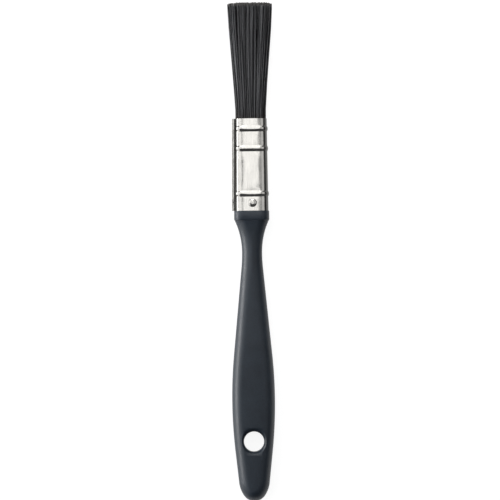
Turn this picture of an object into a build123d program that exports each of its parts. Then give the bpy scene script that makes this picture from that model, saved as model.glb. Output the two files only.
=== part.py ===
"""A narrow flat paint brush for fine detail, lying on its back.

+Y runs from the hanging end to the bristle tips, +X is to the right and +Z is up.
The origin is at the bottom centre of the whole brush. All sizes are in millimetres.
"""

import os
from math import atan2, cos, degrees, radians, sin, sqrt
from random import Random

from build123d import *

# Lengths along the brush
handle_length = 115.5  # hanging end to the ferrule's lower rim
ferrule_length = 36.7
bristle_length = 46.7  # from the ferrule's mouth to the tips

# Grip, seen from the front: arcs joined by straight sides
neck_width = 7.9
neck_below_shoulder = 12.7
neck_radius = 65.0
grip_straight = 34.8  # length of the straight side from the neck's arc to the belly's
belly_width = 17.06
belly_from_end = 40.0
tail_straight = 12.9  # length of the straight side from the belly's arc to the corner's
corner_radius = 11.2
end_radius = 5.0
end_turn = 54.4  # degrees that the end arc turns on each side of the middle

# Grip, seen from the side: level to the belly's end and then thinner to the shoulder
grip_thickness = 9.6
level_length = 62.0
edge_radius = 3.6
least_flat = 0.35  # half the width that rounding leaves of the narrowest face

# Collar that the ferrule butts against
collar_over_rim = 0.25  # how far it stands out from the ferrule's rim, all round
collar_over_shoulder = 0.35  # and from the grip's shoulder
collar_height = 3.8
collar_corner = 3.4
collar_edge = 0.25

# Hanging hole
hole_radius = 4.0
hole_from_end = 23.7
hole_lip = 0.9  # size of the bevel at its mouths

# Ferrule: one strip of plated sheet, bent round and hooked together at its left side
sheet = 0.3
mouth_width = 12.8
mouth_thickness = 7.0
mouth_corner = 2.9
rim_width = 13.5
rim_thickness = 8.2
rim_corner = 3.1
bead_from_mouth = (4.0, 11.9, 29.9)
bead_width = 2.2
bead_height = 0.35
bead_bands = 3  # narrow bands that each bead's curve is made of
seam_width = 4.0
seam_neck = 2.6  # width of the layer that the folded layers stand on
folded_layers = 2
fold_edge = 0.2

# Rivets
rivet_head_radius = 1.7
rivet_head_height = 0.6
rivet_crown_radius = 1.1  # of the head's level top
rivet_shank_radius = 0.7
rivet_length = 3.0
rivet_from_rim = 3.1
rivet_aside = 0.4  # to the right of the middle

# Inside the ferrule
tang_length = 15.6
spacer_width = 8.4
spacer_thickness = 1.4
spacer_length = 12.0
spacer_below_mouth = 6.0
spacer_round = 0.5
resin_below_mouth = 7.0  # top of the set resin that holds the bristle roots
root_slice = 2.0  # resin that stays with each half of the tuft

# Bristles
strand_pitch = 0.43
strand_radius = 0.16
strand_sides = 3
tuft_margin = 0.25  # from the outermost strands' middles to the ferrule's wall
tip_width = 17.7
tip_thickness = 5.6
straight_length = 3.6  # that the strands run on before they fan out
chisel_drop = 1.6  # how much shorter the outer rows are than the middle ones
corner_drop = 0.7  # how much shorter the outermost columns are
corner_sharpness = 6  # power by which that drop grows from the middle outwards
trim_scatter = 0.3
strand_wander = 0.04  # how far a tip strays from its place in the fan

# Clearances
bond_gap = 0.02  # resin to what it is set against
push_gap = 0.05  # tang in ferrule and rivet in its holes

total_length = handle_length + ferrule_length + bristle_length
end_y = -total_length / 2
rim_y = end_y + handle_length
mouth_y = rim_y + ferrule_length
tip_y = mouth_y + bristle_length
mid_z = grip_thickness / 2
collar_base_y = rim_y - collar_height
collar_width = rim_width + 2 * collar_over_rim
collar_thickness = rim_thickness + 2 * collar_over_rim
shoulder_width = collar_width - 2 * collar_over_shoulder
shoulder_thickness = collar_thickness - 2 * collar_over_shoulder
hole_y = end_y + hole_from_end
tang_top_y = rim_y + tang_length
rivet_y = rim_y + rivet_from_rim
spacer_top_y = mouth_y - spacer_below_mouth
spacer_base_y = spacer_top_y - spacer_length
resin_top_y = mouth_y - resin_below_mouth
slice_base_y = resin_top_y - root_slice


def across(y):
    """The plane square to the brush at y: its x is the width and its y the thickness."""
    return Plane(origin=(0, y, mid_z), x_dir=(1, 0, 0), z_dir=(0, -1, 0))


# The plane through the brush's middle: its x runs along the brush and its y through it
along = Plane(origin=(0, 0, mid_z), x_dir=(0, 1, 0), z_dir=(1, 0, 0))


def straight_side(run, rise, straight):
    """Two arcs joined by a straight side that touches both: their bend, and its lean.

    run and rise lie between the places where the arcs don't lean. The bend is the sum of
    their radii if they turn opposite ways, and the difference if they turn the same way.
    The lean is in degrees.
    """
    bend = (run**2 + rise**2 - straight**2) / (2 * rise)
    return bend, degrees(atan2(run, bend - rise) - atan2(straight, bend))


def tube_size(y, inset=0.0):
    """Width, thickness and corner radius of the tapered ferrule at y, taken in by inset."""
    share = (y - rim_y) / ferrule_length
    width = rim_width + (mouth_width - rim_width) * share
    thickness = rim_thickness + (mouth_thickness - rim_thickness) * share
    corner = rim_corner + (mouth_corner - rim_corner) * share
    return width - 2 * inset, thickness - 2 * inset, corner - inset


def tube(low_y, high_y, inset=0.0):
    """A solid length of the ferrule's tapered shape, taken in by inset."""
    with BuildPart(mode=Mode.PRIVATE) as length:
        for y in (low_y, high_y):
            with BuildSketch(across(y)):
                RectangleRounded(*tube_size(y, inset))
        loft(ruled=True)
    return length.part


def bead(y, inset=0.0):
    """A rolled bead: a low rounded ridge that runs once round the tube."""
    with BuildPart(mode=Mode.PRIVATE) as ridge:
        for band in range(bead_bands + 1):
            step = 2 * band / bead_bands - 1
            band_y = y + step * bead_width / 2
            out = bead_height * (1 - step**2)
            with BuildSketch(across(band_y)):
                RectangleRounded(*tube_size(band_y, inset - out))
        loft(ruled=True)
    return ridge.part


def seam_strip(width, inner, outer):
    """A layer of the seam, between two distances out from the ferrule's left side."""
    with BuildPart(mode=Mode.PRIVATE) as layer:
        for y in (rim_y, mouth_y):
            with BuildSketch(across(y)):
                with Locations((-(tube_size(y)[0] + inner + outer) / 2, 0)):
                    Rectangle(outer - inner, width)
        loft(ruled=True)
    return layer.part


def rivet_seat(side):
    """The plane under a rivet's head on the front (1) or the back (-1), facing outward."""
    rise = tube_size(rivet_y - rivet_head_radius)[1] / 2 + bond_gap
    return Plane(origin=(rivet_aside, rivet_y, mid_z + side * rise), z_dir=(0, 0, side))


def rivet(side):
    """A rivet with a bevelled head, on the front (1) or the back (-1)."""
    seat = rivet_seat(side)
    with BuildPart(mode=Mode.PRIVATE) as nail:
        with BuildSketch(Plane(seat.origin, x_dir=(1, 0, 0), z_dir=(0, -side, 0))):
            with BuildLine():
                Polyline(
                    (0, rivet_head_height),
                    (rivet_crown_radius, rivet_head_height),
                    (rivet_head_radius, 0),
                    (rivet_shank_radius, 0),
                    (rivet_shank_radius, -rivet_length),
                    (0, -rivet_length),
                    (0, rivet_head_height),
                )
            make_face()
        revolve(axis=Axis(seat.origin, (0, 0, 1)))
    return nail.part


def rivet_hole(side):
    """The hole that a rivet's shank goes into."""
    with BuildPart(mode=Mode.PRIVATE) as hole:
        with BuildSketch(rivet_seat(side)):
            Circle(rivet_shank_radius + push_gap)
        extrude(amount=-rivet_length - push_gap)
    return hole.part


def spacer_strip(spare=0.0):
    """The strip that parts the tuft, or with spare the room that it takes."""
    with BuildPart(mode=Mode.PRIVATE) as strip:
        with BuildSketch(across(spacer_base_y - spare)):
            Rectangle(spacer_width + 2 * spare, spacer_thickness + 2 * spare)
        extrude(amount=-spacer_length - 2 * spare)
    return strip.part


def half_height(x, width, thickness, corner):
    """Half the thickness of a rounded rectangle at x."""
    past = max(0, abs(x) - (width / 2 - corner))
    return thickness / 2 - corner + sqrt(max(0, corner**2 - past**2))


def strand(root, tip, tip_end_y):
    """A filament that runs straight out of the mouth and then leans towards its tip."""
    stations = (
        (resin_top_y, root),
        (mouth_y + straight_length, root),
        (tip_end_y, tip),
    )
    with BuildPart(mode=Mode.PRIVATE) as filament:
        for y, place in stations:
            with BuildSketch(across(y)):
                with Locations(place):
                    RegularPolygon(strand_radius, strand_sides)
        loft(ruled=True)
    return filament.part


def strands(side):
    """The filaments in front of (1) or behind (-1) the spacer, in columns that never cross."""
    chance = Random(str(side))
    mouth = tube_size(mouth_y, sheet + tuft_margin)
    spread = tip_thickness / mouth[1]
    columns = round(mouth[0] / strand_pitch)
    filaments = []
    for column in range(columns + 1):
        share = 2 * column / columns - 1
        root_x = share * mouth[0] / 2
        outer = half_height(root_x, *mouth)
        inner = strand_pitch / 2
        if abs(root_x) < spacer_width / 2 + tuft_margin:
            inner = spacer_thickness / 2 + tuft_margin
        rows = max(1, round((outer - inner) / strand_pitch))
        for row in range(rows + 1):
            level = row / rows
            root = (root_x, side * (inner + (outer - inner) * level))
            tip_z = strand_pitch / 2 + (outer * spread - strand_pitch / 2) * level
            tip = (
                share * tip_width / 2 + chance.uniform(-strand_wander, strand_wander),
                side * tip_z + chance.uniform(-strand_wander, strand_wander),
            )
            drop = chisel_drop * level**2 + chance.uniform(0, trim_scatter)
            drop += corner_drop * abs(share) ** corner_sharpness
            filaments.append(strand(root, tip, tip_y - drop))
    return filaments


def tuft_half(side):
    """The strands in front of (1) or behind (-1) the spacer, in their slice of the resin."""
    halved = Plane.XY.offset(mid_z + side * bond_gap / 2)
    with BuildPart(mode=Mode.PRIVATE) as backing:
        add(tube(slice_base_y, resin_top_y, sheet + bond_gap))
        split(bisect_by=halved, keep=Keep.TOP if side > 0 else Keep.BOTTOM)
        add(spacer_strip(bond_gap), mode=Mode.SUBTRACT)
    return backing.part.fuse(*strands(side), glue=True)


# Grip: the outline seen from the front, cut to the outline seen from the side
end_inset = corner_radius - end_radius
corner_x = corner_radius - end_inset * sin(radians(end_turn))
corner_y = end_y + end_radius + end_inset * cos(radians(end_turn))
belly = (belly_width / 2, end_y + belly_from_end)
neck = (neck_width / 2, collar_base_y - neck_below_shoulder)
shoulder = (shoulder_width / 2, collar_base_y)
grip_bend, grip_lean = straight_side(neck[1] - belly[1], belly[0] - neck[0], grip_straight)
tail_bend, tail_lean = straight_side(belly[1] - corner_y, belly[0] - corner_x, tail_straight)
grip_round = min(edge_radius, min(neck_width, shoulder_thickness) / 2 - least_flat)
with BuildPart() as handle:
    with BuildSketch():
        with BuildLine():
            end_arc = JernArc((0, end_y), (1, 0), end_radius, end_turn)
            corner_turn = 90 - end_turn - tail_lean
            corner_arc = JernArc(end_arc @ 1, end_arc % 1, corner_radius, corner_turn)
            belly_to_tail = JernArc(belly, (0, -1), tail_bend + corner_radius, -tail_lean)
            belly_to_grip = JernArc(belly, (0, 1), grip_bend - neck_radius, grip_lean)
            neck_arc = JernArc(neck, (0, -1), neck_radius, grip_lean)
            Line(corner_arc @ 1, belly_to_tail @ 1)
            Line(belly_to_grip @ 1, neck_arc @ 1)
            TangentArc(neck, shoulder, tangent=(0, 1))
            Line(shoulder, (0, collar_base_y))
            mirror(about=Plane.YZ)
        make_face()
    extrude(amount=grip_thickness)
    with BuildSketch(along):
        with BuildLine():
            Polyline(
                (end_y, 0),
                (end_y, grip_thickness / 2),
                (end_y + level_length, grip_thickness / 2),
                (collar_base_y, shoulder_thickness / 2),
                (collar_base_y, 0),
            )
            mirror(about=Plane.XZ)
        make_face()
    extrude(amount=belly_width, both=True, mode=Mode.INTERSECT)
    straight_across = handle.edges().filter_by(Axis.X) + handle.edges().filter_by(Axis.Z)
    fillet(handle.edges() - straight_across, grip_round)
    # Collar and tang
    with BuildSketch(across(collar_base_y)):
        RectangleRounded(collar_width, collar_thickness, collar_corner)
    extrude(amount=-collar_height)
    lower_rim = handle.faces().filter_by(Axis.Y).sort_by(Axis.Y)[-2].outer_wire()
    upper_rim = handle.faces().sort_by(Axis.Y)[-1].outer_wire()
    chamfer(lower_rim.edges() + upper_rim.edges(), collar_edge)
    add(tube(rim_y, tang_top_y, sheet + push_gap))
    # Hanging hole, with its mouths bevelled
    with Locations((0, hole_y, mid_z)):
        Cylinder(hole_radius, grip_thickness, mode=Mode.SUBTRACT)
    for side in (1, -1):
        with Locations(Plane((0, hole_y, mid_z + side * grip_thickness / 2), z_dir=(0, 0, side))):
            Cone(
                hole_radius,
                hole_radius + hole_lip,
                hole_lip,
                align=(Align.CENTER, Align.CENTER, Align.MAX),
                mode=Mode.SUBTRACT,
            )
    # Blind holes for the rivets
    for side in (1, -1):
        add(rivet_hole(side), mode=Mode.SUBTRACT)

# Ferrule: the tapered wall with its beads and seam, hollowed at the same taper
with BuildPart() as seam_folds:
    add(seam_strip(seam_width, sheet, (1 + folded_layers) * sheet))
    chamfer(seam_folds.edges().group_by(SortBy.LENGTH)[-1], fold_edge)

with BuildPart() as ferrule:
    add(tube(rim_y, mouth_y))
    add([bead(mouth_y - below) for below in bead_from_mouth])
    add(seam_strip(seam_neck, -sheet / 2, sheet))
    add(seam_folds.part)
    add(tube(rim_y, mouth_y, sheet), mode=Mode.SUBTRACT)
    for below in bead_from_mouth:
        add(bead(mouth_y - below, sheet), mode=Mode.SUBTRACT)
    for side in (1, -1):
        add(rivet_hole(side), mode=Mode.SUBTRACT)

# Rivets through the broad faces of the ferrule into the tang
with BuildPart() as rivet_front:
    add(rivet(1))

with BuildPart() as rivet_back:
    add(rivet(-1))

# Spacer strip, which parts the roots of the tuft
with BuildPart() as spacer:
    add(spacer_strip())
    fillet(spacer.faces().sort_by(Axis.Y)[-1].edges().filter_by(Axis.X), spacer_round)

# Set resin between the tang and the roots
with BuildPart() as resin_block:
    add(tube(tang_top_y + bond_gap, slice_base_y - bond_gap, sheet + bond_gap))
    add(spacer_strip(bond_gap), mode=Mode.SUBTRACT)

# Tuft, in two halves that each hold a slice of the resin
with BuildPart() as bristles_front:
    add(tuft_half(1))

with BuildPart() as bristles_back:
    add(tuft_half(-1))

pieces = {
    "handle": handle,
    "ferrule": ferrule,
    "rivet_front": rivet_front,
    "rivet_back": rivet_back,
    "spacer": spacer,
    "resin_block": resin_block,
    "bristles_front": bristles_front,
    "bristles_back": bristles_back,
}
os.makedirs("parts", exist_ok=True)
for name, piece in pieces.items():
    piece.part.label = name
    export_step(piece.part, f"parts/{name}.step")
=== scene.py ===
"""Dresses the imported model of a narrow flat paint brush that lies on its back.

Every piece is made by an operator of its own, in metres and in the frame's axes: +Y runs
from the hanging end to the bristle tips, +X is to the right and +Z is up.
"""

from collections import namedtuple
from math import atan2, cos, pi, radians, sin, sqrt, tan
from random import Random

import bmesh
import bpy
from mathutils import Matrix, Vector


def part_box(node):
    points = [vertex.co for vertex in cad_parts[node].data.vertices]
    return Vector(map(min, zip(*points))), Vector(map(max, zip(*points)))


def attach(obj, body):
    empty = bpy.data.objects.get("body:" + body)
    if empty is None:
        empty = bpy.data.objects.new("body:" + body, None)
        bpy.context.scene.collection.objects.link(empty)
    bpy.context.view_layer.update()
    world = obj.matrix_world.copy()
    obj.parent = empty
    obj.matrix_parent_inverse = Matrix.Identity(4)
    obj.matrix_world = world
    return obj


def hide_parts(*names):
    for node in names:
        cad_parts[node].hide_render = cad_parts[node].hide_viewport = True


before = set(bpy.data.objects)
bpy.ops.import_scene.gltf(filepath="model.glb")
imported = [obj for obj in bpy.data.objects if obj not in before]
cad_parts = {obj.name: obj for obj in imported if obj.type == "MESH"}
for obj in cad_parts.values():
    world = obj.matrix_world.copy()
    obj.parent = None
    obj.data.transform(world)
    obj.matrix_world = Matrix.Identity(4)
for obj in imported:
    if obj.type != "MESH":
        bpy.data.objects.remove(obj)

bl_info = {
    "name": "Flat Paint Brush",
    "version": (1, 0, 0),
    "blender": (4, 5, 0),
    "location": "View3D > Sidebar > Brush",
    "description": "Builds a small flat paint brush and its photo studio",
    "category": "Object",
}

MM = 0.001
BODY = "root"

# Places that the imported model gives
HANDLE_LOW, HANDLE_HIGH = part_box("handle")
FERRULE_LOW, FERRULE_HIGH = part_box("ferrule")
TUFT_LOW, TUFT_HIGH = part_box("bristles_front")
RIVET_LOW, RIVET_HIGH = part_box("rivet_front")
END_Y = HANDLE_LOW[1]
RIM_Y = FERRULE_LOW[1]
MOUTH_Y = FERRULE_HIGH[1]
TIP_Y = TUFT_HIGH[1]
ROOT_Y = MOUTH_Y - 2 * MM  # where the filaments start, inside the ferrule
MID_Z = (HANDLE_LOW[2] + HANDLE_HIGH[2]) / 2

# Places along a filament, and its share of the full radius at each
SHARES = (0.0, 0.12, 0.35, 0.6, 0.82, 1.0)
TAPER = (1, 1, 0.95, 0.9, 0.8, 0.6)


def length(name, description, default):
    """A size in metres that the panel shows."""
    return bpy.props.FloatProperty(
        name=name, description=description, default=default, min=0.0, precision=5, unit="LENGTH"
    )


def colour(name, description, default):
    """A colour that the panel shows."""
    return bpy.props.FloatVectorProperty(
        name=name, description=description, default=default, subtype="COLOR", min=0.0, max=1.0
    )


class HandleSettings(bpy.types.PropertyGroup):
    """Sizes and colour of the moulded handle."""

    neck_width: length("Neck width", "Width at the narrowest place", 8.0 * MM)
    neck_below_shoulder: length("Neck place", "From the shoulder to the neck", 12.7 * MM)
    neck_radius: length("Neck radius", "Radius of the outline under the neck", 65.0 * MM)
    grip_straight: length("Grip side", "Straight side from neck to belly", 34.8 * MM)
    belly_width: length("Belly width", "Width at the widest place", 17.06 * MM)
    belly_from_end: length("Belly place", "From the hanging end to the belly", 40.0 * MM)
    tail_straight: length("Tail side", "Straight side from belly to corner", 12.9 * MM)
    corner_radius: length("Corner radius", "Outline beside the end", 11.2 * MM)
    end_radius: length("End radius", "Radius of the outline at the end", 5.0 * MM)
    end_turn: bpy.props.FloatProperty(
        name="End turn",
        description="How far the end's arc turns on each side",
        default=radians(54.4),
        subtype="ANGLE",
    )
    level_length: length("Level length", "Length that is equally thick", 62.0 * MM)
    neck_thinning: length("Thinning", "How much thinner it gets towards the collar", 2.6 * MM)
    flare: length("Flare", "How far the shoulder swells again", 0.75 * MM)
    flare_length: length("Flare length", "Length of that swelling", 9.5 * MM)
    edge_radius: length("Edge radius", "Rounding of the long edges", 4.0 * MM)
    collar_over_rim: length("Collar over rim", "How far it stands out", 0.25 * MM)
    collar_over_shoulder: length("Collar over shoulder", "How far it stands out", 0.22 * MM)
    collar_height: length("Collar height", "Length of the collar", 3.8 * MM)
    collar_lean: length("Collar lean", "How much thinner it gets to the rim", 0.3 * MM)
    collar_corner: length("Collar corner", "Radius of its corners", 3.4 * MM)
    collar_edge: length("Collar edge", "Rounding of its rims", 0.3 * MM)
    tang_length: length("Tang length", "Length inside the ferrule", 15.6 * MM)
    hole_from_end: length("Hole place", "From the end to the hole", 23.7 * MM)
    hole_radius: length("Hole radius", "Clear radius of the hole", 4.0 * MM)
    hole_lip: length("Hole lip", "Width of the rounded mouths", 1.3 * MM)
    tint: colour("Tint", "Colour of the plastic", (0.0165, 0.0240, 0.0345))


class FerruleSettings(bpy.types.PropertyGroup):
    """Sizes and colour of the sheet ferrule and its rivets."""

    sheet: length("Sheet", "Thickness of the sheet", 0.3 * MM)
    mouth_width: length("Mouth width", "Outer width at the bristles", 12.8 * MM)
    mouth_thickness: length("Mouth thickness", "Outer thickness there", 7.0 * MM)
    mouth_corner: length("Mouth corner", "Corner radius there", 2.9 * MM)
    rim_width: length("Rim width", "Outer width at the handle", 13.5 * MM)
    rim_thickness: length("Rim thickness", "Outer thickness there", 8.2 * MM)
    rim_corner: length("Rim corner", "Corner radius there", 3.1 * MM)
    bead_places: bpy.props.FloatVectorProperty(
        name="Bead places",
        description="From the mouth to each bead",
        default=(4.0 * MM, 11.9 * MM, 29.9 * MM),
        unit="LENGTH",
    )
    bead_width: length("Bead width", "Width of a bead", 2.2 * MM)
    bead_height: length("Bead height", "Height of a bead", 0.33 * MM)
    pillow: length("Pillow", "How far the panels swell between beads", 0.11 * MM)
    seam_width: length("Seam width", "Width of the folded seam", 4.0 * MM)
    seam_depth: length("Seam depth", "How far the seam stands out", 1.1 * MM)
    tint: colour("Tint", "Colour of the plated sheet", (0.677, 0.662, 0.628))


class TuftSettings(bpy.types.PropertyGroup):
    """Sizes, count and colours of the bristles."""

    count: bpy.props.IntProperty(
        name="Count", description="Filaments in each half", default=2600, min=1
    )
    radius: length("Radius", "Radius of a filament at its root", 0.08 * MM)
    tip_width: length("Tip width", "Width of the tuft at its tips", 17.94 * MM)
    tip_thickness: length("Tip thickness", "Thickness there", 5.9 * MM)
    fan: bpy.props.FloatProperty(
        name="Fan",
        description="Power by which the fan opens towards the tips",
        default=1.15,
        min=1.0,
    )
    fan_start: bpy.props.FloatProperty(
        name="Fan start",
        description="Share of a filament that stays straight",
        default=0.12,
        min=0.0,
        max=1.0,
        subtype="FACTOR",
    )
    fan_end: bpy.props.FloatProperty(
        name="Fan end",
        description="Share of a filament where the fan stops opening",
        default=0.94,
        min=0.0,
        max=1.0,
        subtype="FACTOR",
    )
    crown: bpy.props.FloatProperty(
        name="Crown",
        description="How much thinner the tuft gets towards its sides",
        default=0.64,
        min=0.0,
        max=1.0,
        subtype="FACTOR",
    )
    chisel: length("Chisel", "How much shorter the outer filaments are", 1.7 * MM)
    corner_drop: length("Corner drop", "How much shorter the corners are", 0.8 * MM)
    scatter: length("Scatter", "Unevenness of the trimmed tips", 0.5 * MM)
    stray: length("Stray", "How far a tip strays from its lock", 0.11 * MM)
    locks: bpy.props.IntProperty(
        name="Locks", description="Locks that the tips gather in", default=110, min=1
    )
    strands: bpy.props.IntProperty(
        name="Strands", description="Strands of one shade across the tuft", default=72, min=1
    )
    # Painted light: the filaments on the left are made paler, as if lit more from that side.
    painted_left_light: bpy.props.FloatProperty(
        name="Paler left",
        description="How much paler the filaments are on the seam's side",
        default=0.75,
        min=0.0,
        max=1.0,
        subtype="FACTOR",
    )
    gather: bpy.props.FloatProperty(
        name="Gather",
        description="How far a tip is drawn into its lock",
        default=0.58,
        min=0.0,
        max=1.0,
        subtype="FACTOR",
    )
    dark: colour("Dark", "Darkest filaments", (0.0015, 0.0015, 0.0018))
    pale: colour("Pale", "Palest filaments", (0.258, 0.261, 0.274))


class StudioSettings(bpy.types.PropertyGroup):
    """The camera and the floor."""

    camera_height: length("Camera height", "Above the floor", 1600 * MM)
    camera_y: bpy.props.FloatProperty(
        name="Camera place",
        description="Along the brush",
        default=-30 * MM,
        unit="LENGTH",
    )
    aside: bpy.props.FloatProperty(
        name="Aside",
        description="How far the picture's middle is from the brush's",
        default=-0.82 * MM,
        unit="LENGTH",
    )
    aim_y: bpy.props.FloatProperty(
        name="Aim",
        description="Place along the brush that the camera is turned to",
        default=0.45 * MM,
        unit="LENGTH",
    )
    lens: bpy.props.FloatProperty(
        name="Lens", description="Focal length in millimetres", default=288.4, min=1.0
    )
    roll: bpy.props.FloatProperty(
        name="Roll", description="Turn of the picture", default=radians(0.6), subtype="ANGLE"
    )
    floor_tint: colour("Floor", "Colour of the floor", (0.26, 0.26, 0.26))


# ---------------------------------------------------------------- mesh helpers


def new_piece(name, bm, material, replaced=()):
    """Turns a bmesh into a piece of the brush that rides on it and stands for CAD nodes."""
    mesh = bpy.data.meshes.new(name)
    bm.to_mesh(mesh)
    bm.free()
    piece = bpy.data.objects.new(name, mesh)
    bpy.context.scene.collection.objects.link(piece)
    mesh.materials.append(material)
    own_piece(piece, replaced)
    return piece


def own_piece(piece, replaced=()):
    """Hangs a piece on the body that it rides on and hides the nodes that it stands for."""
    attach(piece, BODY)
    if replaced:
        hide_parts(*replaced)


def ring(bm, places):
    """A closed ring of edges through the given places."""
    circle = bmesh.ops.create_circle(bm, segments=len(places), radius=1)["verts"]
    for vert, place in zip(circle, places):
        vert.co = place
    return list({edge for vert in circle for edge in vert.link_edges})


def skin(bm, rings):
    """Joins rings of places with bands of faces and returns the first and last ring."""
    first = before = ring(bm, rings[0])
    for places in rings[1:]:
        after = ring(bm, places)
        bmesh.ops.bridge_loops(bm, edges=before + after)
        before = after
    return first, before


def rounded_section(width, thickness, corner, corner_steps=10, wide_steps=24, narrow_steps=6):
    """Points round a rounded rectangle, each with the direction that it faces."""
    points = []
    for quarter, steps in enumerate((wide_steps, narrow_steps) * 2):
        start = quarter * pi / 2
        middle_x = (width / 2 - corner) * (1 if quarter in (0, 3) else -1)
        middle_z = (thickness / 2 - corner) * (1 if quarter in (0, 1) else -1)
        for step in range(corner_steps + 1):
            angle = start + pi / 2 * step / corner_steps
            points.append(
                (middle_x + corner * cos(angle), middle_z + corner * sin(angle), angle)
            )
        run = width - 2 * corner if quarter in (0, 2) else thickness - 2 * corner
        x, z, angle = points[-1]
        for step in range(1, steps):
            share = run * step / steps
            points.append((x - share * sin(angle), z + share * cos(angle), angle))
    return points


def smooth(piece, sharp_angle=radians(35)):
    """Shades a piece smoothly, apart from its sharp edges."""
    piece.data.shade_smooth()
    piece.data.set_sharp_from_angle(angle=sharp_angle)


def bake_modifiers(piece):
    """Applies a piece's modifiers to its mesh."""
    bpy.context.view_layer.update()
    seen = piece.evaluated_get(bpy.context.evaluated_depsgraph_get())
    mesh = bpy.data.meshes.new_from_object(seen)
    piece.modifiers.clear()
    old = piece.data
    piece.data = mesh
    bpy.data.meshes.remove(old)


def cut_or_join(piece, bm, operation):
    """Cuts a closed tool out of a piece, or joins it on."""
    mesh = bpy.data.meshes.new("tool")
    bm.to_mesh(mesh)
    bm.free()
    tool = bpy.data.objects.new("tool", mesh)
    bpy.context.scene.collection.objects.link(tool)
    boolean = piece.modifiers.new("boolean", "BOOLEAN")
    boolean.operation = operation
    boolean.solver = "EXACT"
    boolean.object = tool
    bake_modifiers(piece)
    bpy.data.objects.remove(tool)
    bpy.data.meshes.remove(mesh)


# ---------------------------------------------------------------- materials


class Finish:
    """Builds one procedural material, node by node."""

    def __init__(self, name):
        self.material = bpy.data.materials.new(name)
        self.material.use_nodes = True
        self.tree = self.material.node_tree
        self.shader = self.tree.nodes["Principled BSDF"]

    def node(self, kind, **values):
        """Adds a node; values set its sockets by name with _ for a space, or link them."""
        node = self.tree.nodes.new(kind)
        self.fill(node, values)
        return node

    def fill(self, node, values):
        """Sets or links a node's inputs, or its plain settings."""
        for key, value in values.items():
            socket = key.replace("_", " ")
            if socket in node.inputs:
                self.feed(node.inputs[socket], value)
            else:
                setattr(node, key, value)

    def feed(self, socket, value):
        """Links an output to a socket, or sets its value."""
        if isinstance(value, bpy.types.NodeSocket):
            self.tree.links.new(value, socket)
        else:
            socket.default_value = value

    def place(self, stretch=(1, 1, 1)):
        """Object coordinates, stretched along the axes."""
        place = self.node("ShaderNodeTexCoord").outputs["Object"]
        mapping = self.node("ShaderNodeMapping", Vector=place, Scale=stretch)
        return mapping.outputs["Vector"]

    def noise(self, size, detail=4.0, rough=0.5, stretch=(1, 1, 1)):
        """Noise with features of about size metres."""
        noise = self.node(
            "ShaderNodeTexNoise",
            Vector=self.place(stretch),
            Scale=1 / size,
            Detail=detail,
            Roughness=rough,
        )
        return noise.outputs["Fac"]

    def spread(self, value, low, high, from_low=0.3, from_high=0.7):
        """Maps a value's range onto low to high."""
        span = self.node("ShaderNodeMapRange", Value=value)
        for socket, number in zip(
            ("From Min", "From Max", "To Min", "To Max"), (from_low, from_high, low, high)
        ):
            self.feed(span.inputs[socket], number)
        return span.outputs["Result"]

    def mix(self, factor, first, second, blend="MIX"):
        """Mixes two colours."""
        mix = self.node("ShaderNodeMix", data_type="RGBA", blend_type=blend)
        for socket, value in zip((0, 6, 7), (factor, first, second)):
            self.feed(mix.inputs[socket], value)
        return mix.outputs[2]

    def maths(self, operation, *values):
        """Does a sum with one to three values."""
        sum_node = self.node("ShaderNodeMath", operation=operation)
        for socket, value in zip(sum_node.inputs, values):
            self.feed(socket, value)
        return sum_node.outputs[0]

    def bump(self, height, depth, strength=1.0, normal=None):
        """Raises the surface by height times depth, over another bump if given."""
        bump = self.node("ShaderNodeBump", Height=height, Distance=depth, Strength=strength)
        if normal is not None:
            self.feed(bump.inputs["Normal"], normal)
        return bump.outputs["Normal"]

    def surface(self, **values):
        """Fills the shader's own sockets."""
        self.fill(self.shader, values)
        return self.material


def shade(tint, share):
    """A tint made lighter or darker, as a colour with alpha."""
    return tuple(part * share for part in tint) + (1.0,)


def handle_plastic(settings):
    """Matt moulded plastic with a finely eroded surface and a faint bloom from handling."""
    finish = Finish("handle_plastic")
    cloud = finish.noise(9 * MM, detail=3)
    grain = finish.noise(0.35 * MM, detail=3, rough=0.6)
    tone = finish.mix(
        finish.spread(cloud, 0.0, 1.0), shade(settings.tint, 0.88), shade(settings.tint, 1.14)
    )
    speck = finish.mix(
        finish.spread(grain, 0.0, 1.0), shade((1, 1, 1), 0.80), shade((1, 1, 1), 1.25)
    )
    colour_out = finish.mix(1.0, tone, speck, "MULTIPLY")
    rough = finish.maths(
        "ADD", finish.spread(grain, -0.05, 0.05), finish.spread(cloud, 0.37, 0.43)
    )
    erosion = finish.bump(grain, 0.035 * MM, 0.55)
    return finish.surface(
        Base_Color=colour_out,
        Roughness=rough,
        Specular_IOR_Level=0.47,
        Normal=erosion,
    )


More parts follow.
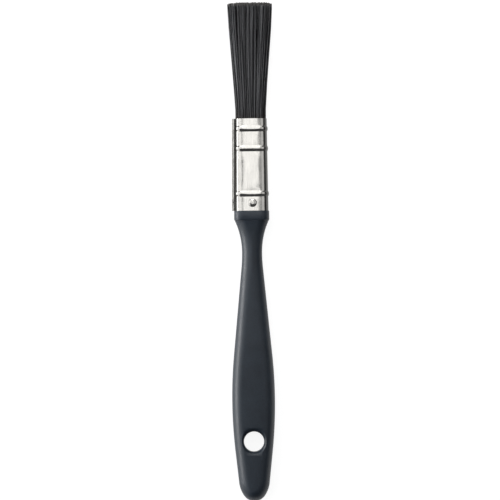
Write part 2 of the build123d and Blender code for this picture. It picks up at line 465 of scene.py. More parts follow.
def plated_sheet(settings):
    """Bright plated sheet: uneven from rolling, with fine marks, and a painted dark reflection
    where it is bent round its corners.
    """
    finish = Finish("plated_sheet")
    place = finish.node("ShaderNodeTexCoord").outputs["Object"]
    parts = finish.node("ShaderNodeSeparateXYZ", Vector=place).outputs
    rim, mouth = tube_size(settings, RIM_Y), tube_size(settings, MOUTH_Y)
    middle_x = finish.spread(
        parts["Y"], rim[0] / 2 - rim[2], mouth[0] / 2 - mouth[2], RIM_Y, MOUTH_Y
    )
    middle_z = finish.spread(
        parts["Y"], rim[1] / 2 - rim[2], mouth[1] / 2 - mouth[2], RIM_Y, MOUTH_Y
    )
    level = finish.maths("ABSOLUTE", finish.maths("SUBTRACT", parts["Z"], MID_Z))
    past_x = finish.maths("SUBTRACT", finish.maths("ABSOLUTE", parts["X"]), middle_x)
    past_z = finish.maths("SUBTRACT", level, middle_z)
    turn = finish.maths("ARCTAN2", past_x, past_z)
    cloud = finish.noise(4.5 * MM, detail=2)
    marks = finish.noise(0.5 * MM, detail=4, rough=0.65, stretch=(1, 0.12, 1))
    tone = finish.mix(
        finish.spread(cloud, 0.0, 1.0), shade(settings.tint, 0.92), shade(settings.tint, 1.06)
    )
    tone = finish.mix(finish.spread(marks, 0.0, 0.10), tone, shade(settings.tint, 0.5))
    # Painted dark reflection: where the sheet turns round its corners, its colour is taken nearly
    # to black.
    bent_from = finish.spread(turn, 0.0, 1.0, radians(33), radians(40))
    bent_to = finish.spread(turn, 1.0, 0.0, radians(92), radians(101))
    bend = finish.maths("MULTIPLY", bent_from, bent_to)
    painted_reflection_dark = shade((0.9, 0.9, 0.86), 0.09)
    tone = finish.mix(finish.maths("MULTIPLY", bend, 0.95), tone, painted_reflection_dark)
    rough = finish.maths(
        "ADD", finish.spread(cloud, 0.10, 0.17), finish.spread(marks, -0.03, 0.04)
    )
    waves = finish.bump(cloud, 0.10 * MM, 0.4)
    scored = finish.bump(marks, 0.006 * MM, 0.5, waves)
    return finish.surface(Base_Color=tone, Metallic=1.0, Roughness=rough, Normal=scored)


def folded_sheet(settings):
    """The seam's folded sheet: dulled by the folding rolls, with painted shade along its outer
    fold.
    """
    finish = Finish("folded_sheet")
    rolls = finish.noise(0.7 * MM, detail=3, rough=0.6, stretch=(1, 0.35, 1))
    place = finish.node("ShaderNodeTexCoord").outputs["Object"]
    parts = finish.node("ShaderNodeSeparateXYZ", Vector=place).outputs
    rim, mouth = tube_size(settings, RIM_Y)[0] / 2, tube_size(settings, MOUTH_Y)[0] / 2
    side = finish.spread(parts["Y"], rim, mouth, RIM_Y, MOUTH_Y)
    out = finish.maths("SUBTRACT", finish.maths("MULTIPLY", parts["X"], -1.0), side)
    depth = settings.seam_depth
    # Painted shade: the colour darkens towards the fold's outer edge, where it turns away.
    painted_fold_shade = finish.spread(out, 0.0, 0.8, depth * 0.72, depth * 0.92)
    tone = finish.mix(
        finish.spread(rolls, 0.0, 1.0), shade(settings.tint, 0.54), shade(settings.tint, 0.78)
    )
    tone = finish.mix(painted_fold_shade, tone, shade(settings.tint, 0.12))
    return finish.surface(
        Base_Color=tone,
        Metallic=1.0,
        Roughness=finish.spread(rolls, 0.22, 0.14),
        Normal=finish.bump(rolls, 0.03 * MM, 0.4),
    )


def rivet_steel(settings):
    """Plated steel with the marks of the hammer, and painted shade in a dark ring round its rim."""
    finish = Finish("rivet_steel")
    dents = finish.noise(0.9 * MM, detail=2)
    marks = finish.noise(0.2 * MM, detail=3)
    tone = finish.mix(
        finish.spread(dents, 0.0, 1.0), shade(settings.tint, 0.85), shade(settings.tint, 1.15)
    )
    place = finish.node("ShaderNodeTexCoord").outputs["Object"]
    level = finish.node("ShaderNodeVectorMath", operation="MULTIPLY", Vector=place)
    level.inputs[1].default_value = (1, 1, 0)
    away = finish.node("ShaderNodeVectorMath", operation="DISTANCE", Vector=level.outputs[0])
    away.inputs[1].default_value = (
        (RIVET_LOW[0] + RIVET_HIGH[0]) / 2,
        (RIVET_LOW[1] + RIVET_HIGH[1]) / 2,
        0,
    )
    radius = (RIVET_HIGH[0] - RIVET_LOW[0]) / 2
    # Painted shade: a dark, rougher ring at the head's edge, where it meets the sheet.
    painted_rim_shade = finish.spread(away.outputs["Value"], 0.0, 0.9, radius * 0.87, radius * 0.97)
    tone = finish.mix(painted_rim_shade, tone, (0.045, 0.042, 0.036, 1))
    worn = finish.spread(marks, 0.10, 0.20)
    return finish.surface(
        Base_Color=tone,
        Metallic=1.0,
        Roughness=finish.maths("ADD", worn, finish.maths("MULTIPLY", painted_rim_shade, 0.3)),
        Normal=finish.bump(dents, 0.06 * MM, 0.4),
    )


def filament(settings):
    """Black synthetic filament: u is the filament's own shade and v runs from root to tip."""
    finish = Finish("filament")
    uv = finish.node("ShaderNodeUVMap", uv_map="OFBake").outputs["UV"]
    parts = finish.node("ShaderNodeSeparateXYZ", Vector=uv)
    own, along = parts.outputs["X"], parts.outputs["Y"]
    tone = finish.mix(own, shade(settings.dark, 1), shade(settings.pale, 1))
    resin_stain = finish.spread(along, 0.6, 0.0, 0.0, 0.12)
    tone = finish.mix(resin_stain, tone, (0.030, 0.021, 0.015, 1))
    cut_tip = finish.spread(along, 0.0, 0.85, 0.955, 0.99)
    tone = finish.mix(cut_tip, tone, (0.190, 0.180, 0.172, 1))
    rough = finish.spread(own, 0.5, 0.36, 0.0, 1.0)
    return finish.surface(Base_Color=tone, Roughness=rough, Specular_IOR_Level=0.1)


def spacer_wood(_settings):
    """Plain sawn strip with its grain along the brush."""
    finish = Finish("spacer_wood")
    grain = finish.noise(0.6 * MM, detail=5, stretch=(1, 0.08, 1))
    tone = finish.mix(
        finish.spread(grain, 0.0, 1.0), (0.46, 0.30, 0.15, 1), (0.66, 0.48, 0.29, 1)
    )
    return finish.surface(
        Base_Color=tone,
        Roughness=finish.spread(grain, 0.75, 0.6),
        Normal=finish.bump(grain, 0.05 * MM, 0.5),
    )


def set_resin(_settings):
    """Dark amber casting resin with swirls and pits."""
    finish = Finish("set_resin")
    swirl = finish.noise(2.5 * MM, detail=4)
    pits = finish.noise(0.4 * MM, detail=2)
    tone = finish.mix(
        finish.spread(swirl, 0.0, 1.0), (0.030, 0.017, 0.008, 1), (0.075, 0.045, 0.020, 1)
    )
    return finish.surface(
        Base_Color=tone,
        Roughness=finish.spread(pits, 0.2, 0.38),
        Normal=finish.bump(pits, 0.04 * MM, 0.4),
    )


def floor_paper(settings):
    """White paper that shows white to the eye and to metal, and still keeps a soft shadow."""
    glow = 0.90  # with the lamps' light this makes white
    finish = Finish("floor_paper")
    fibre = finish.noise(1.2 * MM, detail=3)
    tone = finish.mix(
        finish.spread(fibre, 0.0, 1.0),
        shade(settings.floor_tint, 0.985),
        shade(settings.floor_tint, 1.0),
    )
    paper = finish.surface(Base_Color=tone, Roughness=0.9, Specular_IOR_Level=0.1)
    path = finish.node("ShaderNodeLightPath").outputs
    seen = finish.maths("MAXIMUM", path["Is Camera Ray"], path["Is Glossy Ray"])
    seen = finish.maths("MAXIMUM", seen, path["Is Transmission Ray"])
    lift = finish.node("ShaderNodeEmission", Strength=finish.maths("MULTIPLY", seen, glow))
    both = finish.node("ShaderNodeAddShader")
    finish.feed(both.inputs[0], finish.shader.outputs[0])
    finish.feed(both.inputs[1], lift.outputs[0])
    finish.feed(finish.tree.nodes["Material Output"].inputs["Surface"], both.outputs[0])
    return paper


# ---------------------------------------------------------------- shapes


def straight_side(run, rise, straight):
    """Two arcs joined by a straight side that touches both: their bend, and its lean.

    run and rise lie between the places where the arcs don't lean. The bend is the sum of
    their radii if they turn opposite ways, and the difference if they turn the same way.
    """
    bend = (run**2 + rise**2 - straight**2) / (2 * rise)
    return bend, atan2(run, bend - rise) - atan2(straight, bend)


def bulge(radius, run):
    """How far an arc falls away at run from its top."""
    return radius - sqrt(radius**2 - run**2)


def shoulder_s(sizes):
    """From the hanging end to the collar."""
    return RIM_Y - END_Y - sizes.collar_height


def collar_size(sizes, tube):
    """Width and thickness of the collar."""
    beyond = 2 * sizes.collar_over_rim
    return tube.rim_width + beyond, tube.rim_thickness + beyond


def half_width(sizes, tube, s):
    """Half the grip's width at s from the hanging end: arcs joined by straight sides."""
    inset = sizes.corner_radius - sizes.end_radius
    corner = sizes.corner_radius - inset * sin(sizes.end_turn)
    corner_s = sizes.end_radius + inset * cos(sizes.end_turn)
    belly, belly_s = sizes.belly_width / 2, sizes.belly_from_end
    neck, neck_s = sizes.neck_width / 2, shoulder_s(sizes) - sizes.neck_below_shoulder
    tail_bend, tail = straight_side(belly_s - corner_s, belly - corner, sizes.tail_straight)
    grip_bend, grip = straight_side(neck_s - belly_s, belly - neck, sizes.grip_straight)
    tail_radius = tail_bend + sizes.corner_radius
    grip_radius = grip_bend - sizes.neck_radius
    tail_end = belly_s - tail_radius * sin(tail)
    grip_start = belly_s + grip_radius * sin(grip)
    if s <= sizes.end_radius * (1 - cos(sizes.end_turn)):
        return sqrt(s * (2 * sizes.end_radius - s))
    if s <= corner_s - sizes.corner_radius * sin(tail):
        return corner - bulge(sizes.corner_radius, corner_s - s)
    if s <= tail_end:
        return belly - bulge(tail_radius, belly_s - tail_end) - (tail_end - s) * tan(tail)
    if s <= belly_s:
        return belly - bulge(tail_radius, belly_s - s)
    if s <= grip_start:
        return belly - bulge(grip_radius, s - belly_s)
    if s <= neck_s - sizes.neck_radius * sin(grip):
        return belly - bulge(grip_radius, grip_start - belly_s) - (s - grip_start) * tan(grip)
    if s <= neck_s:
        return neck + bulge(sizes.neck_radius, neck_s - s)
    rise = collar_size(sizes, tube)[0] / 2 - sizes.collar_over_shoulder - neck
    run = sizes.neck_below_shoulder
    return neck + bulge((rise**2 + run**2) / (2 * rise), s - neck_s)


def half_thickness(sizes, s):
    """Half the grip's thickness: level, then thinner, with a slight flare at the shoulder."""
    level = (HANDLE_HIGH[2] - HANDLE_LOW[2]) / 2
    run = shoulder_s(sizes) - sizes.level_length
    thinner = max(0.0, s - sizes.level_length) / run * sizes.neck_thinning / 2
    swell = max(0.0, 1 - (shoulder_s(sizes) - s) / sizes.flare_length)
    return level - thinner + sizes.flare * swell**2


def grip_mesh(sizes, tube):
    """The grip: its outline extruded, its long edges rounded, then thinned to the shoulder."""
    end_steps, side_steps, thin_cuts, bevel_segments = 22, 90, 30, 10
    flatter_than_round = 0.43
    top = shoulder_s(sizes)
    near = sizes.corner_radius * 0.75
    stations = [near * (1 - cos(pi / 2 * step / end_steps)) for step in range(end_steps)]
    stations += [near + (top - near) * step / side_steps for step in range(side_steps + 1)]
    right = [(half_width(sizes, tube, s), END_Y + s, HANDLE_HIGH[2]) for s in stations]
    left = [(-x, y, z) for x, y, z in reversed(right[1:])]
    bm = bmesh.new()
    bmesh.ops.contextual_create(bm, geom=ring(bm, right + left))
    pushed = bmesh.ops.extrude_face_region(bm, geom=bm.faces[:], use_keep_orig=True)["geom"]
    lower = [part for part in pushed if isinstance(part, bmesh.types.BMVert)]
    bmesh.ops.translate(bm, verts=lower, vec=(0, 0, HANDLE_LOW[2] - HANDLE_HIGH[2]))
    bmesh.ops.recalc_face_normals(bm, faces=bm.faces)
    rims = [
        edge
        for edge in bm.edges
        if abs(edge.verts[0].co.z - edge.verts[1].co.z) < 1e-7
        and min(vert.co.y for vert in edge.verts) < END_Y + top - 1e-6
    ]
    bmesh.ops.bevel(
        bm,
        geom=rims,
        offset=sizes.edge_radius,
        offset_type="OFFSET",
        segments=bevel_segments,
        profile=flatter_than_round,
        affect="EDGES",
        clamp_overlap=False,
        material=-1,
    )
    for cut in range(thin_cuts):
        s = sizes.level_length + (top - sizes.level_length) * cut / thin_cuts
        bmesh.ops.bisect_plane(
            bm,
            geom=bm.verts[:] + bm.edges[:] + bm.faces[:],
            plane_co=(0, END_Y + s, 0),
            plane_no=(0, 1, 0),
        )
    for vert in bm.verts:
        share = half_thickness(sizes, vert.co.y - END_Y) / half_thickness(sizes, 0)
        vert.co.z = MID_Z + (vert.co.z - MID_Z) * share
    bmesh.ops.triangulate(bm, faces=[face for face in bm.faces if len(face.verts) > 4])
    return bm


def collar_mesh(sizes, tube):
    """The collar with the tang that stands on it, as one closed block."""
    bm = bmesh.new()
    base = RIM_Y - sizes.collar_height
    edge = sizes.collar_edge
    halfway = edge * 0.3  # where its arc is at 45 degrees
    wide, thick = collar_size(sizes, tube)
    rings = []
    for y, inset in (
        (base, edge),
        (base + halfway, halfway),
        (base + edge, 0),
        (RIM_Y - edge, 0),
        (RIM_Y - halfway, halfway),
        (RIM_Y, edge),
    ):
        lean = sizes.collar_lean * (0.5 - (y - base) / sizes.collar_height)
        section = rounded_section(
            wide - 2 * inset, thick + lean - 2 * inset, sizes.collar_corner - inset
        )
        rings.append([(x, y, MID_Z + z) for x, z, _ in section])
    inset = tube.sheet * 1.2
    for y in (RIM_Y, RIM_Y + sizes.tang_length):
        section = rounded_section(*tube_size(tube, y, inset))
        rings.append([(x, y, MID_Z + z) for x, z, _ in section])
    first, last = skin(bm, rings)
    for loop in (first, last):
        bmesh.ops.contextual_create(bm, geom=loop)
    bmesh.ops.recalc_face_normals(bm, faces=bm.faces)
    return bm


def hole_tool(sizes):
    """A spool that cuts the hanging hole and rounds its mouths over."""
    bm = bmesh.new()
    lip_steps, turns = 8, 96
    spare = 2 * MM
    half = (HANDLE_HIGH[2] - HANDLE_LOW[2]) / 2
    wide = sizes.hole_radius + sizes.hole_lip
    profile = [(0, half + spare), (wide + spare * 0.2, half + spare)]
    outer, inner = radians(25), radians(80)
    bend = sizes.hole_lip / (sin(inner) - sin(outer))
    for step in range(lip_steps + 1):
        angle = outer + (inner - outer) * step / lip_steps
        profile.append(
            (wide - bend * (sin(angle) - sin(outer)), half - bend * (cos(outer) - cos(angle)))
        )
    profile += [(x, -z) for x, z in reversed(profile)]
    verts = [bm.verts.new((x, END_Y + sizes.hole_from_end, MID_Z + z)) for x, z in profile]
    chain = [bm.edges.new(pair) for pair in zip(verts, verts[1:])]
    bmesh.ops.spin(
        bm,
        geom=verts + chain,
        cent=(0, END_Y + sizes.hole_from_end, 0),
        axis=(0, 0, 1),
        angle=2 * pi,
        steps=turns,
        use_merge=True,
    )
    bmesh.ops.remove_doubles(bm, verts=bm.verts, dist=1e-7)
    bmesh.ops.recalc_face_normals(bm, faces=bm.faces)
    return bm


def tube_size(sizes, y, inset=0.0):
    """Width, thickness and corner radius of the tapered ferrule at y, taken in by inset."""
    share = (y - RIM_Y) / (MOUTH_Y - RIM_Y)
    width = sizes.rim_width + (sizes.mouth_width - sizes.rim_width) * share
    thickness = sizes.rim_thickness + (sizes.mouth_thickness - sizes.rim_thickness) * share
    corner = sizes.rim_corner + (sizes.mouth_corner - sizes.rim_corner) * share
    return width - 2 * inset, thickness - 2 * inset, corner - inset


def bead_rise(sizes, y):
    """How far the rolled beads lift the sheet at y."""
    rise = 0.0
    for place in sizes.bead_places:
        step = abs(y - (MOUTH_Y - place)) / (sizes.bead_width / 2)
        if step < 1:
            rise = sizes.bead_height * (1 - step**2) ** 1.1
    return rise


def panel_swell(sizes, x, y, width):
    """How far the broad faces swell between the beads."""
    ends = [RIM_Y - 2 * MM, MOUTH_Y + 2 * MM]
    stops = sorted(ends + [MOUTH_Y - place for place in sizes.bead_places])
    for low, high in zip(stops, stops[1:]):
        if low <= y <= high:
            along = 1 - abs(2 * (y - low) / (high - low) - 1) ** 5
            return sizes.pillow * along * (1 - min(1.0, abs(2 * x / width)) ** 3)
    return 0.0


def ferrule_mesh(sizes):
    """The bent sheet with its beads and swollen panels, given its thickness inwards."""
    ring_step = 0.22 * MM
    fade = 0.6 * MM  # over which the beads rise beside the seam
    count = round((MOUTH_Y - RIM_Y) / ring_step)
    rings = []
    for index in range(count + 1):
        y = RIM_Y + (MOUTH_Y - RIM_Y) * index / count
        width, thickness, corner = tube_size(sizes, y)
        rise = bead_rise(sizes, y)
        places = []
        for x, z, angle in rounded_section(width, thickness, corner):
            out = rise
            if x < 0 and abs(z) < sizes.seam_width / 2:
                out = 0.0
            elif x < 0:
                out = rise * min(1.0, (abs(z) - sizes.seam_width / 2) / fade)
            if abs(sin(angle)) > 0.999:
                out += panel_swell(sizes, x, y, width - 2 * corner)
            places.append((x + out * cos(angle), y, MID_Z + z + out * sin(angle)))
        rings.append(places)
    bm = bmesh.new()
    skin(bm, rings)
    bmesh.ops.recalc_face_normals(bm, faces=bm.faces)
    bmesh.ops.solidify(bm, geom=bm.faces[:], thickness=sizes.sheet)
    return bm


def seam_mesh(sizes):
    """The folded seam: a slim bar along the left side, with rounded folds."""
    fold, unevenness, cuts = 0.28 * MM, 0.05 * MM, 30
    bm = bmesh.new()
    bmesh.ops.create_cube(bm, size=1)
    run = MOUTH_Y - RIM_Y
    bmesh.ops.scale(bm, verts=bm.verts, vec=(sizes.seam_depth, run, sizes.seam_width))
    long_edges = [
        edge for edge in bm.edges if abs(edge.verts[0].co.y - edge.verts[1].co.y) > run / 2
    ]
    bmesh.ops.bevel(
        bm,
        geom=long_edges,
        offset=fold,
        offset_type="OFFSET",
        segments=4,
        profile=0.5,
        affect="EDGES",
        material=-1,
    )
    for cut in range(1, cuts):
        bmesh.ops.bisect_plane(
            bm,
            geom=bm.verts[:] + bm.edges[:] + bm.faces[:],
            plane_co=(0, run * (cut / cuts - 0.5), 0),
            plane_no=(0, 1, 0),
        )
    chance = Random("seam")
    waver = [chance.uniform(-1, 1) * unevenness for _ in range(cuts + 1)]
    for vert in bm.verts:
        y = vert.co.y + (RIM_Y + MOUTH_Y) / 2
        side = tube_size(sizes, y)[0] / 2
        uneven = waver[round((vert.co.y / run + 0.5) * cuts)]
        vert.co = (vert.co.x - side - sizes.seam_depth / 2, y, MID_Z + vert.co.z + uneven)
    return bm


def rivet_mesh(side):
    """A rivet whose low dome is level in its middle, on a shank that enters the handle."""
    bm = bmesh.new()
    low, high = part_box("rivet_front" if side > 0 else "rivet_back")
    middle = Vector(((low[0] + high[0]) / 2, (low[1] + high[1]) / 2, 0))
    radius = (high[0] - low[0]) / 2
    head, shank = 0.6 * MM, 0.7 * MM
    crown = high[2] if side > 0 else low[2]
    end = low[2] if side > 0 else high[2]
    flat, steps, steepest = radius * 0.3, 12, radians(40)
    bend = (radius - flat) / sin(steepest)
    profile = [(0, crown)]
    for step in range(steps + 1):
        angle = steepest * step / steps
        profile.append((flat + bend * sin(angle), crown - side * bend * (1 - cos(angle))))
    profile.append((radius, crown - side * head))
    profile += [(shank, crown - side * head), (shank, end), (0, end)]
    verts = [bm.verts.new((middle.x + x, middle.y, z)) for x, z in profile]
    chain = [bm.edges.new(pair) for pair in zip(verts, verts[1:])]
    bmesh.ops.spin(
        bm, geom=verts + chain, cent=middle, axis=(0, 0, 1), angle=2 * pi, steps=48, use_merge=True
    )
    bmesh.ops.remove_doubles(bm, verts=bm.verts, dist=1e-7)
    bmesh.ops.recalc_face_normals(bm, faces=bm.faces)
    return bm


Lock = namedtuple("Lock", "across level shade height bend shorter")


def tuft_locks(settings, chance):
    """The locks that the tips of one half gather in."""
    return [
        Lock(
            across=chance.uniform(-1, 1),
            level=chance.uniform(0, 1),
            shade=chance.uniform(0, 1),
            height=chance.uniform(0.72, 1),
            bend=chance.gauss(0, 0.16) * MM,
            shorter=chance.uniform(0, 0.22) * MM,
        )
        for _ in range(settings.locks)
    ]


def nearest_lock(locks, across, level):
    """The lock that a filament belongs to: places across count more than the level."""
    return min(locks, key=lambda lock: 9 * (lock.across - across) ** 2 + (lock.level - level) ** 2)


def tuft_lines(settings, tube, side):
    """Root, tip, length, shade and bend of each filament in one half of the tuft."""
    chance = Random(f"tuft {side}")
    locks = tuft_locks(settings, chance)
    strands = [chance.uniform(0, 1) for _ in range(settings.strands)]
    width, thickness, corner = tube_size(tube, MOUTH_Y, tube.sheet + settings.radius)
    lines = []
    while len(lines) < settings.count:
        across, level = chance.uniform(-1, 1), chance.uniform(0, 1)
        x = across * width / 2
        past = max(0.0, abs(x) - (width / 2 - corner))
        top = thickness / 2 - corner + sqrt(max(0.0, corner**2 - past**2))
        if chance.uniform(0, thickness / 2) > top:
            continue
        lock = nearest_lock(locks, across, level)
        drawn = across + (lock.across - across) * settings.gather
        raised = (level + (lock.level - level) * settings.gather) * lock.height
        hump = settings.tip_thickness / 2 * (1 - settings.crown * drawn**2)
        reach = settings.tip_width / 2 * 1.03  # the limit below takes back the rest
        tip_x = drawn * reach + chance.gauss(0, 1) * settings.stray
        limit = settings.tip_width / 2 - settings.radius
        tip = (
            max(-limit, min(limit, tip_x)),
            side * (raised * hump + chance.gauss(0, 1) * settings.stray),
        )
        drop = settings.chisel * level**2 + settings.corner_drop * abs(across) ** 6
        drop += abs(chance.gauss(0, 1)) * settings.scatter / 2 + lock.shorter
        strand = strands[min(settings.strands - 1, int((across + 1) / 2 * settings.strands))]
        tone = 0.45 * lock.shade + 0.35 * strand + 0.2 * chance.uniform(0, 1)
        # Painted light: paler filaments towards the left side.
        tone += settings.painted_left_light * max(0.0, -across) ** 3
        tone = max(0.0, min(1.0, 1.75 * tone - 0.6)) ** 2
        root = (x, side * level * top)
        bend = lock.bend * (1 - across**2)
        lines.append((root, tip, TIP_Y - settings.radius - drop, tone, bend))
    return lines


def filament_places(root, tip, tip_y, wander, settings):
    """Places along a filament that leaves the mouth straight and then leans outward."""
    places = []
    for share in SHARES:
        y = ROOT_Y + (tip_y - ROOT_Y) * share
        way = (share - settings.fan_start) / (settings.fan_end - settings.fan_start)
        lean = min(1.0, max(0.0, way)) ** settings.fan
        x = root[0] + (tip[0] - root[0]) * lean + wander[0] * sin(pi * share)
        z = root[1] + (tip[1] - root[1]) * lean + wander[1] * sin(pi * share)
        places.append((x, y, MID_Z + z))
    return places


def tuft_half(name, settings, tube, side):
    """One half of the tuft: fine tapered filaments, made as a curve and then a mesh."""
    chance = Random(f"wander {side}")
    curve = bpy.data.curves.new(name, "CURVE")
    curve.dimensions = "3D"
    curve.bevel_depth = settings.radius
    curve.bevel_resolution = 0
    curve.use_fill_caps = True
    lines = tuft_lines(settings, tube, side)
    for root, tip, tip_y, _tone, bend in lines:
        wander = (bend + chance.gauss(0, 0.06) * MM, chance.gauss(0, 0.07) * MM)
        places = filament_places(root, tip, tip_y, wander, settings)
        spline = curve.splines.new("POLY")
        spline.points.add(len(places) - 1)
        for point, place, radius in zip(spline.points, places, TAPER):
            point.co = (*place, 1)
            point.radius = radius
    shape = bpy.data.objects.new(name + "_lines", curve)
    bpy.context.scene.collection.objects.link(shape)
    bpy.context.view_layer.update()
    seen = shape.evaluated_get(bpy.context.evaluated_depsgraph_get())
    mesh = bpy.data.meshes.new_from_object(seen)
    mesh.name = name
    bpy.data.objects.remove(shape)
    bpy.data.curves.remove(curve)
    mark_filaments(mesh, [line[3] for line in lines])
    piece = bpy.data.objects.new(name, mesh)
    bpy.context.scene.collection.objects.link(piece)
    return piece


def mark_filaments(mesh, tones):
    """Writes each filament's shade and the way along it into the mesh's UV map."""
    while mesh.uv_layers:
        mesh.uv_layers.remove(mesh.uv_layers[0])
    layer = mesh.uv_layers.new(name="OFBake")
    share = len(mesh.vertices) // len(tones)
    if share * len(tones) != len(mesh.vertices):
        raise RuntimeError("the filaments differ in their number of vertices")
    for loop in mesh.loops:
        index = loop.vertex_index
        along = (mesh.vertices[index].co.y - ROOT_Y) / (TIP_Y - ROOT_Y)
        layer.data[loop.index].uv = (tones[index // share], min(1.0, max(0.0, along)))


# ---------------------------------------------------------------- operators


class BRUSH_OT_handle(bpy.types.Operator):
    """Build the handle as one moulding with its collar, tang and hanging hole"""

    bl_idname = "brush.handle"
    bl_label = "Handle"

    def execute(self, context):
        sizes, tube = context.scene.brush_handle, context.scene.brush_ferrule
        material = handle_plastic(sizes)
        piece = new_piece("handle_moulding", grip_mesh(sizes, tube), material)
        cut_or_join(piece, hole_tool(sizes), "DIFFERENCE")
        cut_or_join(piece, collar_mesh(sizes, tube), "UNION")
        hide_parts("handle")
        smooth(piece, radians(30))
        return {"FINISHED"}


class BRUSH_OT_ferrule(bpy.types.Operator):
    """Build the ferrule's beaded sheet and its folded seam"""

    bl_idname = "brush.ferrule"
    bl_label = "Ferrule"

    def execute(self, context):
        sizes = context.scene.brush_ferrule
        material = plated_sheet(sizes)
        sheet = new_piece(
            "ferrule_sheet", ferrule_mesh(sizes), material, ("ferrule",)
        )
        seam = new_piece("ferrule_seam", seam_mesh(sizes), folded_sheet(sizes))
        smooth(sheet)
        smooth(seam)
        return {"FINISHED"}


class BRUSH_OT_rivets(bpy.types.Operator):
    """Build the two domed rivets that hold the ferrule to the handle"""

    bl_idname = "brush.rivets"
    bl_label = "Rivets"

    def execute(self, context):
        material = rivet_steel(context.scene.brush_ferrule)
        for name, side in (("rivet_front", 1), ("rivet_back", -1)):
            piece = new_piece(
                name + "_head", rivet_mesh(side), material, (name,)
            )
            smooth(piece)
        return {"FINISHED"}


class BRUSH_OT_tuft(bpy.types.Operator):
    """Build both halves of the tuft from fine filaments"""

    bl_idname = "brush.tuft"
    bl_label = "Tuft"

    def execute(self, context):
        settings, tube = context.scene.brush_tuft, context.scene.brush_ferrule
        material = filament(settings)
        for node, side in (("bristles_front", 1), ("bristles_back", -1)):
            piece = tuft_half(node.replace("bristles", "tuft"), settings, tube, side)
            piece.data.materials.append(material)
            own_piece(piece, (node,))
            smooth(piece, pi)
        return {"FINISHED"}


class BRUSH_OT_roots(bpy.types.Operator):
    """Give the spacer strip and the resin inside the ferrule their finishes"""

    bl_idname = "brush.roots"
    bl_label = "Roots"

    def execute(self, context):
        for node, finish in (("spacer", spacer_wood), ("resin_block", set_resin)):
            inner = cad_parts[node]
            inner.data.materials.clear()
            inner.data.materials.append(finish(context.scene.brush_ferrule))
        return {"FINISHED"}


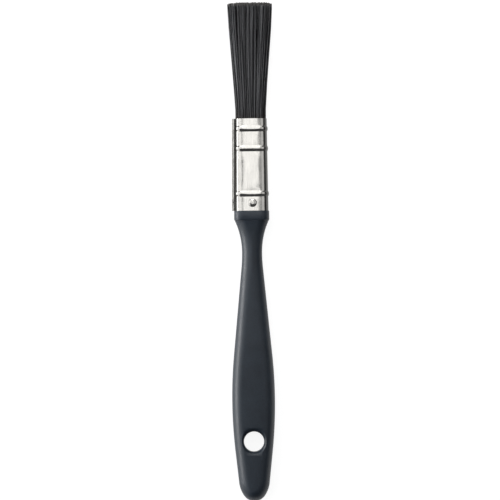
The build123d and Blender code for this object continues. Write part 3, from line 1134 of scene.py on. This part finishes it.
class BRUSH_OT_studio(bpy.types.Operator):
    """Set up the floor, the lamps, the sky and the camera"""

    bl_idname = "brush.studio"
    bl_label = "Studio"

    def execute(self, context):
        settings = context.scene.brush_studio
        self.floor(settings)
        self.lamps()
        self.sky(context.scene)
        self.camera(context.scene, settings)
        context.scene.view_settings.view_transform = "Standard"
        return {"FINISHED"}

    def floor(self, settings):
        """A wide sheet of paper, a hair's breadth under the brush."""
        gap = 0.02 * MM
        bm = bmesh.new()
        bmesh.ops.create_grid(bm, x_segments=2, y_segments=2, size=2.5)
        bmesh.ops.translate(bm, verts=bm.verts, vec=(0, 0, -gap))
        mesh = bpy.data.meshes.new("floor")
        bm.to_mesh(mesh)
        bm.free()
        mesh.materials.append(floor_paper(settings))
        floor = bpy.data.objects.new("floor", mesh)
        bpy.context.scene.collection.objects.link(floor)

    def lamps(self):
        """Soft panels round the ferrule, each given by its tilts to the right and to the tips."""
        ferrule = Vector((0, (RIM_Y + MOUTH_Y) / 2, MID_Z))
        # Name, tilt right, tilt to the tips, distance, half spans the same ways, radiance
        panels = (
            ("overhead", -1, 27.5, 1.2, 9, 28, 1.10),
            ("overhead_right", 14, 20, 1.2, 5.8, 26, 0.28),
            ("upper_left", -27, 26, 1.2, 15, 30, 0.90),
            ("left", -60, 0, 1.1, 21, 38, 0.78),
            ("low_left", -82, 7, 1.0, 8, 24, 8.5),
            ("past_tips", 0, 62, 1.2, 24, 12, 1.9),
            ("right", 38, 14, 1.2, 18, 24, 0.47),
        )
        for name, right, tips, distance, wide, tall, radiance in panels:
            lamp = bpy.data.lights.new(name, "AREA")
            lamp.shape = "RECTANGLE"
            lamp.size = 2 * distance * tan(radians(wide))
            lamp.size_y = 2 * distance * tan(radians(tall))
            lamp.energy = 4 * radiance * lamp.size * lamp.size_y
            panel = bpy.data.objects.new(name, lamp)
            turn = Matrix.Rotation(radians(right), 3, "Y") @ Matrix.Rotation(-radians(tips), 3, "X")
            panel.location = ferrule + turn @ Vector((0, 0, distance))
            panel.rotation_euler = turn.to_euler()
            bpy.context.scene.collection.objects.link(panel)

    def sky(self, scene):
        """An even grey room."""
        world = bpy.data.worlds.new("room")
        world.use_nodes = True
        background = world.node_tree.nodes["Background"]
        background.inputs["Color"].default_value = (0.060, 0.061, 0.064, 1)
        background.inputs["Strength"].default_value = 1.0
        scene.world = world

    def camera(self, scene, settings):
        """A long lens over the handle, turned to take in the whole brush."""
        lens = bpy.data.cameras.new("camera")
        lens.lens = settings.lens
        lens.sensor_width = 36
        camera = bpy.data.objects.new("camera", lens)
        scene.collection.objects.link(camera)
        target = Vector((settings.aside, settings.aim_y, MID_Z))
        camera.location = (settings.aside, settings.camera_y, settings.camera_height)
        look = (target - camera.location).to_track_quat("-Z", "Y")
        camera.rotation_euler = (
            look.to_matrix() @ Matrix.Rotation(-settings.roll, 3, "Z")
        ).to_euler()
        scene.camera = camera


class BRUSH_PT_sidebar(bpy.types.Panel):
    """The brush's pieces and their sizes"""

    bl_label = "Flat Paint Brush"
    bl_idname = "BRUSH_PT_sidebar"
    bl_space_type = "VIEW_3D"
    bl_region_type = "UI"
    bl_category = "Brush"

    def draw(self, context):
        layout = self.layout
        for operator in OPERATORS:
            layout.operator(operator.bl_idname)
        for name in GROUPS:
            box = layout.box()
            settings = getattr(context.scene, name)
            for field in settings.__annotations__:
                box.prop(settings, field)


GROUPS = {
    "brush_handle": HandleSettings,
    "brush_ferrule": FerruleSettings,
    "brush_tuft": TuftSettings,
    "brush_studio": StudioSettings,
}
OPERATORS = (
    BRUSH_OT_handle,
    BRUSH_OT_ferrule,
    BRUSH_OT_rivets,
    BRUSH_OT_tuft,
    BRUSH_OT_roots,
    BRUSH_OT_studio,
)


def register():
    """Makes the settings, the operators and the panel known."""
    for group in GROUPS.values():
        bpy.utils.register_class(group)
    for name, group in GROUPS.items():
        setattr(bpy.types.Scene, name, bpy.props.PointerProperty(type=group))
    for operator in OPERATORS:
        bpy.utils.register_class(operator)
    bpy.utils.register_class(BRUSH_PT_sidebar)


def unregister():
    """Takes them all back."""
    bpy.utils.unregister_class(BRUSH_PT_sidebar)
    for operator in reversed(OPERATORS):
        bpy.utils.unregister_class(operator)
    for name in GROUPS:
        delattr(bpy.types.Scene, name)
    for group in reversed(GROUPS.values()):
        bpy.utils.unregister_class(group)


def main():
    """Builds the brush and its studio."""
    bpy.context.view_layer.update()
    register()
    bpy.ops.brush.handle()
    bpy.ops.brush.ferrule()
    bpy.ops.brush.rivets()
    bpy.ops.brush.tuft()
    bpy.ops.brush.roots()
    bpy.ops.brush.studio()


if __name__ == "__main__":
    main()
